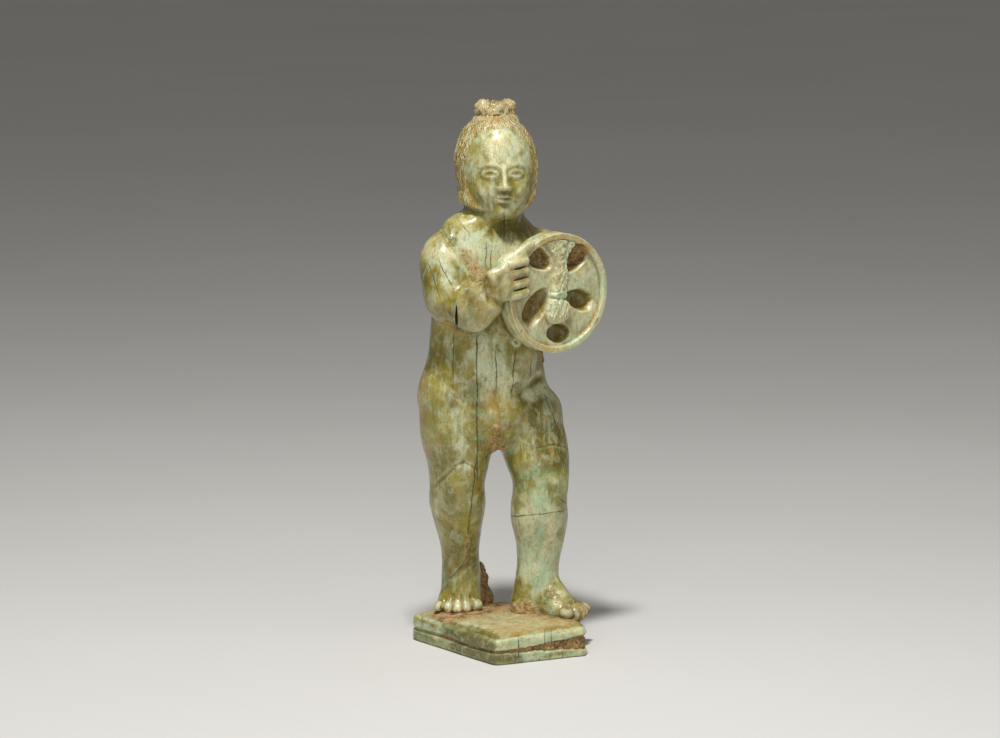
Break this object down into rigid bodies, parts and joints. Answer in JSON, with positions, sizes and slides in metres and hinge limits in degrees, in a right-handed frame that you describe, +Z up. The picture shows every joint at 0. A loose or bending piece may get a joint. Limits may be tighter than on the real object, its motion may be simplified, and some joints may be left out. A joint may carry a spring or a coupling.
{
  "type": "bone putto figurine",
  "caption": "Small carved bone statuette of a striding nude putto who beats a round frame drum, in one piece with its plinth, stained green by long burial.",
  "frame": {"origin": "middle of the plinth's flat underside, on the surface it stands on", "axes": "+Z up through the figure, -Y the way it faces, +X towards its left hand, where the drum is"},
  "size_m": [0.0229, 0.0201, 0.0693],
  "materials": {
    "stained_bone": "old polished bone stained olive, pale green and turquoise, with brown soil crust in its recesses"
  },
  "bodies": {
    "root": {"putto_figurine": "stained_bone"}
  },
  "joints": []
}
